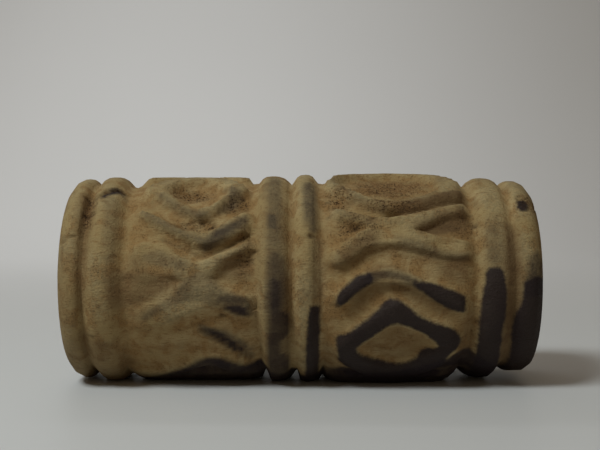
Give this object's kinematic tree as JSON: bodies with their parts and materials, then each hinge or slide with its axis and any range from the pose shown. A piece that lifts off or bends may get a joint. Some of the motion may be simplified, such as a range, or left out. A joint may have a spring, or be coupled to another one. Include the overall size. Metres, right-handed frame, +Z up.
{
  "type": "cylinder seal",
  "caption": "Fired-clay cylinder seal lying on its side: turned rings, two panels carved with lozenges, chevrons and crosses, and a lengthwise bore.",
  "frame": {"origin": "on the surface the seal lies on, under the middle of its length and width", "axes": "+X along the seal's axis towards the end ring with the smaller diameter, +Z up, -Y towards the side that the picture shows"},
  "size_m": [0.0712, 0.0332, 0.0324],
  "materials": {
    "fired_clay": "matte fired clay, buff to orange, with worn dark pigment on the raised bands"
  },
  "bodies": {
    "root": {"seal_body": "fired_clay"}
  },
  "joints": []
}
